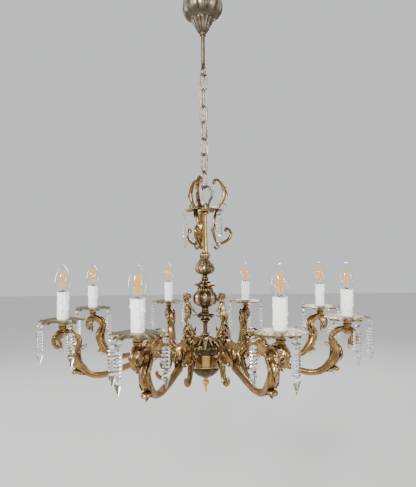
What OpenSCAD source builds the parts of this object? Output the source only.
// Eight-arm brass chandelier with chain, crown, cherubs, wax-look candle sleeves and crystal drops.
// Millimetres. The origin is the centre of the ceiling face, +Z up, and the whole object hangs below it.

/* [Ceiling] */
// Outer radius of the canopy's rim at the ceiling
canopy_r = 50; // [44:1:54]
// Height of the canopy, rim to neck
canopy_h = 94; // [90:1:96]
// Outer radius of the hanging tube
tube_r = 5; // [4.8:0.1:5.4]
// Length of the hanging tube below the ceiling face
tube_len = 176; // [174:1:178]

/* [Chain] */
// Radius of the chain wire
wire_r = 2.25; // [2:0.05:2.3]
// Outer length of a plain link
plain_len = 49; // [48:0.5:49]
// Outer length of an ornate link
leafed_len = 53.5; // [53:0.5:53.5]
// Outer width of a link
link_w = 21; // [20.5:0.5:22]

/* [Arms] */
// Radius of the circle on which the eight candles stand
candle_circle = 340; // [336:1:344]
// Outer radius of a drip tray
tray_r = 54; // [52:1:56]
// Outer radius of a candle sleeve
sleeve_r = 13.25; // [13:0.25:14]
// Height of a candle sleeve
sleeve_h = 60; // [56:1:64]
// Radius of the circle of drops on a tray
drop_circle = 50; // [49:0.5:50]

/* [Hidden] */
$fn = 48;

// Height of the trays' top face, where the sleeves stand
tray_z = -808;
// Arms 1 to 8 in turn round the body, by azimuth from +X
arm_az = [20, 67.5, 110.5, 158, -158, -110.5, -66.5, -20.5];
// Azimuth of the three drops on each tray, in the same order
drop_az = [[140, 45, -10], [185, 70, 0], [180, 5, 90], [-125, 40, 160],
    [-52, 90, 180], [-122, 165, 0], [-70, 45, 185], [-85, 0, 110]];
// Height of a drop's pivot, the middle of its hole, over the tray's top face and the crown plate
drop_pivot = -3.7;
crown_pivot = -10.2;
// Radius of the pin hole in a tray and of the wire through it
pin_hole_r = 1.4;
pin_r = 0.5;

// Clearance where one link rests on the next
rest_gap = 0.3;
ring_mid_r = 11.3;
ring_z = -194.5;
ring_yaw = -60;
// Azimuth of each link's flat side, from the top
link_yaw = [10, 95, 10, -55, 40, -40, 50];
link_len = [plain_len, leafed_len, plain_len, leafed_len, plain_len, leafed_len, plain_len];
link_pitch = [for (l = link_len) l - 4 * wire_r - rest_gap];
// Height of the top bend's centre line of link i, and of the hook after the last link
function link_top(i) = i == 0 ? ring_z - ring_mid_r + wire_r + 2.2 + rest_gap
    : link_top(i - 1) - link_pitch[i - 1];
hook_top = link_top(7);

// Tie rod and the bore that every piece of the column has for it
rod_r = 4;
rod_bore = 4.2;
plate_z = -544;

// Where the two drops hang from the crown plate
crown_drops = [[50 * cos(-168), 50 * sin(-168)], [47 * cos(-40), 47 * sin(-40)]];

// Route of the cable through the chain
cable_r = 2.2;
cable_route = [[0, 0, -20], [0, 0, -90], [0, 0, -150], [0, 1, -162], [1, 6, -174], [2, 9, -186],
    [3, 9, -198], [3, 4, -212], [0, -2, -226], [-5, -8, -240], [-8, -9, -256], [-8, -8, -272],
    [-6, -7, -288], [-1, -3, -302], [2, 5, -315], [4, 8, -328], [8, 6, -344], [9, 2, -358],
    [9, -1, -372], [9, 0, -392], [9, 0, -410], [8, 4, -424], [3, 8, -438], [0, 9, -452],
    [-4, 8, -464], [-8, 4, -476], [-9, -2, -488], [-8, -4, -500], [-5, -4, -514], [-2, -2, -526],
    [0, 0, -538], [0, 0, -600], [0, 0, -930]];

// ---- curves and sweeps -------------------------------------------------------------------
// Point on the smooth curve through p[i] and p[i + 1], u from 0 to 1
function curve_at(p, i, u) =
    let (a = p[max(i - 1, 0)], b = p[i], c = p[i + 1], d = p[min(i + 2, len(p) - 1)])
    0.5 * (2 * b + (c - a) * u + (2 * a - 5 * b + 4 * c - d) * u * u
    + (3 * b - a - 3 * c + d) * u * u * u);
// The curve through p with n steps in each span
function smooth(p, n) = [for (i = [0 : len(p) - 2]) for (k = [0 : n - 1]) curve_at(p, i, k / n),
    p[len(p) - 1]];
function unit(v) = v / norm(v);
function heading(p, i) = unit(p[min(i + 1, len(p) - 1)] - p[max(i - 1, 0)]);
// Points of one ring of a sweep: round p[i], ra in the plane square to side, rb along side
function ring_at(p, i, t, ra, rb, sides, side) =
    let (a = unit(cross(t, side)), b = unit(cross(a, t)))
    [for (k = [0 : sides - 1]) p[i] + ra * cos(360 * k / sides) * a + rb * sin(360 * k / sides) * b];

// A closed solid swept along the open path p, with radius r[i] at p[i], wide times as wide sideways
module sweep_open(p, r, sides = 8, wide = 1, side = [0, 1, 0]) {
    n = len(p);
    points = [for (i = [0 : n - 1]) each ring_at(p, i, heading(p, i), r[i], r[i] * wide, sides, side)];
    walls = [for (i = [0 : n - 2]) for (k = [0 : sides - 1])
        let (a = i * sides + k, b = i * sides + (k + 1) % sides)
        [a, b, b + sides, a + sides]];
    polyhedron(points, concat([[for (k = [sides - 1 : -1 : 0]) k]], walls,
        [[for (k = [0 : sides - 1]) (n - 1) * sides + k]]), convexity = 8);
}

// The same along a path that closes on itself
module sweep_loop(p, r, sides = 8, side = [0, 1, 0]) {
    n = len(p);
    points = [for (i = [0 : n - 1])
        each ring_at(p, i, unit(p[(i + 1) % n] - p[(i + n - 1) % n]), r, r, sides, side)];
    polyhedron(points, [for (i = [0 : n - 1]) for (k = [0 : sides - 1])
        let (a = i * sides + k, b = i * sides + (k + 1) % sides, m = n * sides)
        [a, b, (b + sides) % m, (a + sides) % m]], convexity = 8);
}

// A turned piece: profile points as [radius, height]
module turned(profile) {
    rotate_extrude() polygon(profile);
}

// ---- ceiling fittings --------------------------------------------------------------------
module ceiling_plate() color("silver") difference() {
    union() {
        translate([0, 0, -3]) cylinder(r = 32, h = 3);
        translate([0, 0, -16]) cylinder(r = 10, h = 13.5);
    }
    translate([0, 0, -17]) cylinder(r = tube_r + 0.05, h = 18);
    for (x = [-25, 25]) translate([x, 0, -4]) cylinder(r = 2.5, h = 5);
}

// The tube's end is flattened to an eye, square to the ring that hangs in it
module hanging_tube() color("tan") difference() {
    union() {
        translate([0, 0, -tube_len]) cylinder(r = tube_r, h = tube_len - 1);
        rotate([0, 0, ring_yaw]) translate([-1.9, -tube_r + 0.3, -188.5])
            cube([3.8, 2 * tube_r - 0.6, 13]);
    }
    translate([0, 0, -tube_len + 3]) cylinder(r = 3.4, h = tube_len);
    translate([-2.9, 0, -tube_len - 4]) cube([5.8, 8, 18]);
    rotate([0, 0, ring_yaw]) translate([-9, 0, ring_z + ring_mid_r]) rotate([0, 90, 0])
        cylinder(r = 3.1, h = 18);
}

module canopy() color("dimgray") turned([
    [canopy_r, -0.5], [canopy_r, -46], [canopy_r - 6, -52], [30, -60], [27, -66], [14, -91],
    [10, -canopy_h], [5.6, -canopy_h], [5.6, -91], [12, -88], [24.5, -64], [28, -57],
    [canopy_r - 8, -49], [canopy_r - 2.5, -44], [canopy_r - 2.5, -0.5]]);

// Ring below the canopy, with the grub screw that grips the tube
module canopy_collar() color("tan") {
    difference() {
        translate([0, 0, -canopy_h - 7]) cylinder(r = 8.3, h = 7);
        translate([0, 0, -canopy_h - 8]) cylinder(r = tube_r + 0.35, h = 9);
        translate([0, 0, -canopy_h - 3.5]) rotate([90, 0, 0]) cylinder(r = 1.6, h = 12);
    }
    translate([0, -tube_r - 0.35, -canopy_h - 3.5]) rotate([90, 0, 0]) cylinder(r = 1.6, h = 3.4);
}

// ---- chain ---------------------------------------------------------------------------------
module tube_ring() color("tan") translate([0, 0, ring_z]) rotate([90, 0, ring_yaw])
    rotate_extrude() translate([ring_mid_r, 0]) circle(r = 2.2);

// An oval link with straight sides, hanging from its top bend's centre line
module chain_link(i) {
    mid = link_w / 2 - wire_r;
    straight = link_len[i] - link_w;
    loop = concat([for (a = [0 : 22.5 : 180]) [mid * cos(a), 0, mid * sin(a)]],
        [for (a = [180 : 22.5 : 360]) [mid * cos(a), 0, mid * sin(a) - straight]]);
    color("rosybrown") translate([0, 0, link_top(i) - mid]) rotate([0, 0, link_yaw[i]])
        sweep_loop(loop, wire_r);
}
module chain_link_1() chain_link(0);
module chain_link_2() chain_link(1);
module chain_link_3() chain_link(2);
module chain_link_4() chain_link(3);
module chain_link_5() chain_link(4);
module chain_link_6() chain_link(5);
module chain_link_7() chain_link(6);

module cable() color("goldenrod") {
    route = smooth(cable_route, 2);
    sweep_open(route, [for (p = route) cable_r]);
}

// ---- crown ---------------------------------------------------------------------------------
// C-shaped hook that rises from a ring round the tie rod
module crown_hook() {
    bend = smooth([[-3, 0, -11], [-5.3, 0, -7.5], [-4.6, 0, -2.2], [0, 0, 0], [8, 0, -2],
        [15, 0, -8], [19, 0, -18], [18, 0, -28], [13.5, 0, -36], [12.5, 0, -42], [10, 0, -48]], 3);
    color("tan") difference() {
        union() {
            rotate([0, 0, -15]) translate([0, 0, hook_top]) sweep_open(bend, [for (p = bend) wire_r]);
            translate([0, 0, plate_z + 1.5]) cylinder(r = 11.5, h = 3);
        }
        translate([0, 0, plate_z + 1]) cylinder(r = rod_bore, h = 3.6);
    }
}

// Tall S-scroll with an outward loop low down, as [radius, height above the plate]
scroll_az = [12, 132, -108];
scroll_main = [[24, 58], [25, 65], [32, 70], [41, 66], [48, 54], [53, 38], [50, 20], [42, 7], [37, 0],
    [33, -9], [27, -26], [23, -47], [23, -66], [28, -84], [34, -95], [34, -104], [28, -107], [25, -102]];
scroll_ear = [[32.5, -99], [42, -94], [54, -89], [65, -80], [69, -68], [63, -57], [55, -55], [52, -61]];
module crown_scroll() {
    main = smooth([for (p = scroll_main) [p[0], 0, p[1]]], 2);
    sweep_open(main, [for (p = main) 2.6], wide = 1.3);
    sweep_open([for (p = scroll_ear) [p[0], 0, p[1]]], [for (p = scroll_ear) 2], wide = 1.1);
}
module crown_scrolls() color("peru") for (a = scroll_az)
    rotate([0, 0, a]) translate([0, 0, plate_z]) crown_scroll();

// Thin drooping disc of three broad leaves, with slots that the scrolls pass through
module crown_plate() color("darkkhaki") difference() {
    turned([[rod_bore, plate_z - 2], [rod_bore, plate_z + 1.5], [18, plate_z + 1.5],
        [26, plate_z], [42, plate_z - 7.5], [52, plate_z - 9.5], [51.5, plate_z - 11.5],
        [41, plate_z - 9.4], [25, plate_z - 2], [17, plate_z - 2]]);
    for (a = scroll_az) rotate([0, 0, a]) translate([29, -3.2, plate_z - 16]) cube([30, 6.4, 20]);
    for (d = crown_drops) translate([d[0], d[1], plate_z - 20]) cylinder(r = pin_hole_r, h = 30);
}

// ---- column --------------------------------------------------------------------------------
module column_tube() color("gold") turned([[rod_bore, -546], [11, -546], [12.5, -549], [9, -553],
    [7, -557], [10.5, -560], [10.5, -564], [6.2, -568], [6.6, -600], [8, -650], [9, -660], [9, -663],
    [rod_bore, -663]]);

module vase() color("peru") turned([[rod_bore, -663], [12, -663], [12, -672], [10.5, -674], [14, -680],
    [19.5, -690], [24, -698], [25, -703], [22, -710], [14, -715], [8, -718], [6, -723], [7.5, -727],
    [7, -732], [rod_bore, -732]]);

module urn() color("peru") turned([[rod_bore, -732], [13, -732], [14, -737], [24, -739], [26.5, -742],
    [24, -745], [17, -747], [20, -753], [27, -764], [29.5, -776], [26, -788], [16, -796], [9, -799],
    [8, -806], [11, -808], [11, -811], [rod_bore, -811]]);

// Turned saucer with two long leaves, one towards each cherub
module leaf_saucer() color("darkkhaki") {
    turned([[rod_bore, -811], [15, -811], [17, -814], [14, -817], [20, -819], [20, -822], [10, -826],
        [14, -829], [11, -832], [7, -834], [rod_bore, -834]]);
    for (s = [-1, 1]) hull() {
        translate([18 * s, 0, -820.5]) cylinder(r = 4, h = 3, center = true, $fn = 24);
        translate([33 * s, 0, -824]) cylinder(r = 3, h = 2, center = true, $fn = 24);
    }
}

module lower_stem() color("peru") turned([[rod_bore, -834], [5.5, -834], [5.5, -863], [9, -864],
    [9, -867], [6, -868], [6, -870], [rod_bore, -870]]);

module dome() color("darkolivegreen") turned([[rod_bore, -870], [11, -870], [22, -873.5], [34, -880],
    [44, -889], [47.5, -897], [44.5, -897], [41.5, -890.5], [32, -883], [20, -877.5], [10, -874],
    [rod_bore, -874]]);

// Border band and plain belt: the hollow box that the arms are bolted to
module belt() color("darkkhaki") difference() {
    turned([[48, -897], [48, -909], [43, -910.5], [43, -941], [34, -941], [34, -938],
        [40, -938], [40, -908], [44.5, -905], [44.5, -897]]);
    for (a = arm_az) rotate([0, 0, a]) translate([38, 0, bolt_z]) rotate([0, 90, 0])
        cylinder(r = 2.6, h = 8);
}

module lower_bowl() color("olive") turned([[37, -941], [37, -945], [34, -947], [34, -951],
    [27, -962], [14, -970], [rod_bore, -970], [rod_bore, -966], [12, -966], [24, -959],
    [31, -950], [33, -945], [33, -941]]);

module finial() color("goldenrod") difference() {
    turned([[0, -970], [8, -970], [8, -974], [5, -977], [8.5, -984], [7.5, -990], [2.5, -996],
        [2.2, -1006], [1, -1010], [0, -1010]]);
    translate([0, 0, -986]) cylinder(r = rod_bore, h = 18);
}

// Hollow threaded rod from the crown plate to the finial, with its top nut
module tie_rod() color("silver") difference() {
    union() {
        translate([0, 0, -984]) cylinder(r = rod_r, h = 984 + plate_z + 11);
        translate([0, 0, plate_z + 4.5]) cylinder(r = 7.5, h = 4.5, $fn = 6);
    }
    translate([0, 0, -985]) cylinder(r = 2.8, h = 985 + plate_z + 12);
}

// Ring-shaped ceramic block round the rod inside the belt, where the arms' wires meet
module terminal_block() color("white") difference() {
    translate([0, 0, -932]) cylinder(r = 17, h = 18);
    translate([0, 0, -933]) cylinder(r = rod_r, h = 20);
}

// ---- arms ----------------------------------------------------------------------------------
bolt_z = -926;
// Arm's centre line as [radius from the axis, height from the trays' top face, half thickness]
arm_main = [[66, -115, 7], [82, -103, 7], [97, -92, 7.5], [109, -81, 7.5], [120, -77, 7],
    [132, -85, 7], [150, -98, 7], [188, -114, 7], [222, -126, 7], [254, -131, 7], [276, -127, 7], [296, -113, 8.5], [309, -98, 10],
    [314, -84, 10], [312, -70, 8], [306, -61, 6.5], [304, -52, 6], [309, -40, 6], [321, -31, 6],
    [336, -28, 6], [352, -32, 5.5], [361, -43, 5], [358, -56, 4.5], [350, -60, 4]];
arm_tail = [[88, -100, 7], [95, -114, 6.5], [99, -130, 5.5], [104, -144, 5], [112, -153, 4.5],
    [121, -150, 4.5], [125, -142, 4]];
// Leafy crest on the inner half of the arm
arm_crest = [[104, -78, 8], [114, -60, 10], [130, -54, 9], [146, -62, 9], [150, -84, 7]];
module arm_strand(table, wide) {
    sweep_open([for (p = table) [p[0], 0, p[1] + tray_z]], [for (p = table) p[2]], wide = wide);
}
module arm() difference() {
    union() {
        arm_strand(arm_main, 1.15);
        arm_strand(arm_tail, 1.1);
        arm_strand(arm_crest, 0.9);
        hull() {
            translate([43.1, 0, bolt_z]) rotate([0, 90, 0]) cylinder(r = 8.5, h = 6, $fn = 16);
            translate([64, 0, -923]) rotate([0, 90, 0]) cylinder(r = 7.5, h = 5, $fn = 16);
        }
        translate([0, 0, tray_z]) {
            translate([candle_circle, 0, -28]) cylinder(r = 8.5, h = 13, $fn = 16);
            translate([candle_circle, 0, -15]) cylinder(r1 = 8.5, r2 = 14, h = 13, $fn = 16);
        }
    }
    translate([candle_circle, 0, tray_z - 20]) cylinder(r = 5.1, h = 20, $fn = 16);
    translate([36, 0, bolt_z]) rotate([0, 90, 0]) cylinder(r = 2.3, h = 21, $fn = 16);
}
module arms() color("peru") for (a = arm_az) rotate([0, 0, a]) arm();

// Machine screws from inside the belt into the arms' feet
module arm_bolts() color("silver") for (a = arm_az) rotate([0, 0, a])
    translate([0, 0, bolt_z]) rotate([0, 90, 0]) {
        translate([0, 0, 36.4]) cylinder(r = 4, h = 3.4);
        translate([0, 0, 39]) cylinder(r = 2.1, h = 17);
    }

// ---- trays and candles ---------------------------------------------------------------------
module at_candle(i) rotate([0, 0, arm_az[i]]) translate([candle_circle, 0, tray_z]) children();
function candle_xy(i) = candle_circle * [cos(arm_az[i]), sin(arm_az[i])];
function drop_xy(i, k) = candle_xy(i) + drop_circle * [cos(drop_az[i][k]), sin(drop_az[i][k])];

module drip_trays() color("darkkhaki") for (i = [0 : 7]) difference() {
    at_candle(i) turned([[5.2, -2], [5.2, 0], [18, 0], [34, 0.6], [44, -1.5], [tray_r, -3.5],
        [tray_r - 0.5, -5.5], [44, -3.6], [34, -1.5], [18, -2]]);
    for (k = [0 : 2]) translate([drop_xy(i, k)[0], drop_xy(i, k)[1], tray_z - 10])
        cylinder(r = pin_hole_r, h = 14);
}

module lamp_holders() color("ivory") for (i = [0 : 7]) at_candle(i) difference() {
    union() {
        translate([0, 0, -19]) cylinder(r = 4.9, h = 20);
        cylinder(r = 11.5, h = 52);
    }
    translate([0, 0, sleeve_h - 30]) cylinder(r = 7.6, h = 30);
}

module candle_sleeves() color("white") for (i = [0 : 7]) at_candle(i) difference() {
    cylinder(r = sleeve_r, h = sleeve_h);
    translate([0, 0, -1]) cylinder(r = sleeve_r - 1.1, h = sleeve_h + 4);
}

module bulbs() color("lightyellow") for (i = [0 : 7]) at_candle(i) translate([0, 0, sleeve_h])
    turned([[0, -30], [3, -30], [7, -27], [7, -3], [10, 0], [12.5, 5], [16, 14], [17.4, 23],
        [16.8, 32], [13.5, 43], [8.5, 52], [4, 58], [2, 61.5], [1.2, 63.3], [0, 64]]);

// ---- cherubs -------------------------------------------------------------------------------
module limb(a, b, ra, rb) hull() {
    translate(a) sphere(r = ra, $fn = 8);
    translate(b) sphere(r = rb, $fn = 8);
}
// Standing child with its scrolled foot bracket, facing outward along +X, feet at the origin
module cherub(raised, back) {
    limb([-1, -1, 1], [1, -3, 17], 3, 3.8);
    limb([1, -3, 17], [-1, -3, 36], 3.8, 5);
    limb([-1, 3, 36], [8, 5, 29], 5, 4);
    limb([8, 5, 29], [5, 4, 14], 3.8, 2.6);
    limb([-1, 0, 38], [-1, 0, 58], 7, 6.5);
    limb([0, 0, 66], [0, 0, 76], 3, 3);
    translate([0.5, 0, 79]) sphere(r = 7.4, $fn = 10);
    limb([-1, raised[1] > 0 ? 6 : -6, 61], raised, 3, 2.2);
    limb([-1, back[1] > 0 ? 6 : -6, 61], back, 3, 2.2);
    limb([-3, 0, -3], [4, 0, -3], 3.4, 3);
    limb([-4, 0, -4], [-9, 0, -24], 3, 2.6);
    limb([-9, 0, -24], [0, 0, -38], 2.6, 3.4);
}
module cherubs() color("peru") {
    translate([43, 0, -852]) cherub([-6, -7, 84], [-12, 6, 44]);
    rotate([0, 0, 180]) translate([43, 0, -852]) cherub([9, -7, 84], [-15, 7, 44]);
}

// ---- crystal drops -------------------------------------------------------------------------
// A drop with its pivot at the origin: hooked pin, eight-sided bead, notched bar and spear point
module crystal_drop(turn) rotate([0, 0, turn]) {
    translate([0, 0, -24]) cylinder(r = pin_r, h = 28);
    translate([0, 0, 4.3]) sphere(r = 1.7);
    translate([0, 0, -17.5]) cylinder(r1 = 3.6, r2 = 6.2, h = 4.4);
    translate([0, 0, -13.1]) cylinder(r = 6.8, h = 5, $fn = 8);
    translate([0, 0, -8.1]) cylinder(r1 = 6.2, r2 = 3.4, h = 4.4);
    bar_and_spear();
}
// The bar and the spear are one plate with bevelled ends, thinner than it is wide
module bar_and_spear() {
    translate([0, 0, -66]) linear_extrude(44) polygon([[-7.7, -2], [-5, -4], [5, -4], [7.7, -2],
        [7.7, 2], [5, 4], [-5, 4], [-7.7, 2]]);
    translate([0, 0, -70.5]) linear_extrude(4.5) polygon([[-4.5, -2.5], [4.5, -2.5], [4.5, 2.5],
        [-4.5, 2.5]]);
    translate([0, 2.5, 0]) rotate([90, 0, 0]) linear_extrude(5)
        polygon([[-4, -70.5], [4, -70.5], [8, -73], [0, -97], [-8, -73]]);
}
module tray_drop(i, k) color("aliceblue")
    translate([drop_xy(i, k)[0], drop_xy(i, k)[1], tray_z + drop_pivot])
    crystal_drop(drop_az[i][k] / 8);
module crown_drop(d, turn) color("aliceblue") translate([d[0], d[1], plate_z + crown_pivot])
    crystal_drop(turn);
module drop_1_a() tray_drop(0, 0);
module drop_1_b() tray_drop(0, 1);
module drop_1_c() tray_drop(0, 2);
module drop_2_a() tray_drop(1, 0);
module drop_2_b() tray_drop(1, 1);
module drop_2_c() tray_drop(1, 2);
module drop_3_a() tray_drop(2, 0);
module drop_3_b() tray_drop(2, 1);
module drop_3_c() tray_drop(2, 2);
module drop_4_a() tray_drop(3, 0);
module drop_4_b() tray_drop(3, 1);
module drop_4_c() tray_drop(3, 2);
module drop_5_a() tray_drop(4, 0);
module drop_5_b() tray_drop(4, 1);
module drop_5_c() tray_drop(4, 2);
module drop_6_a() tray_drop(5, 0);
module drop_6_b() tray_drop(5, 1);
module drop_6_c() tray_drop(5, 2);
module drop_7_a() tray_drop(6, 0);
module drop_7_b() tray_drop(6, 1);
module drop_7_c() tray_drop(6, 2);
module drop_8_a() tray_drop(7, 0);
module drop_8_b() tray_drop(7, 1);
module drop_8_c() tray_drop(7, 2);
module crown_drop_left() crown_drop(crown_drops[0], -30);
module crown_drop_right() crown_drop(crown_drops[1], 10);

ceiling_plate();
hanging_tube();
canopy();
canopy_collar();
tube_ring();
chain_link_1();
chain_link_2();
chain_link_3();
chain_link_4();
chain_link_5();
chain_link_6();
chain_link_7();
cable();
crown_hook();
crown_scrolls();
crown_plate();
column_tube();
vase();
urn();
leaf_saucer();
lower_stem();
dome();
belt();
lower_bowl();
finial();
tie_rod();
terminal_block();
arms();
arm_bolts();
drip_trays();
lamp_holders();
candle_sleeves();
bulbs();
cherubs();
drop_1_a();
drop_1_b();
drop_1_c();
drop_2_a();
drop_2_b();
drop_2_c();
drop_3_a();
drop_3_b();
drop_3_c();
drop_4_a();
drop_4_b();
drop_4_c();
drop_5_a();
drop_5_b();
drop_5_c();
drop_6_a();
drop_6_b();
drop_6_c();
drop_7_a();
drop_7_b();
drop_7_c();
drop_8_a();
drop_8_b();
drop_8_c();
crown_drop_left();
crown_drop_right();
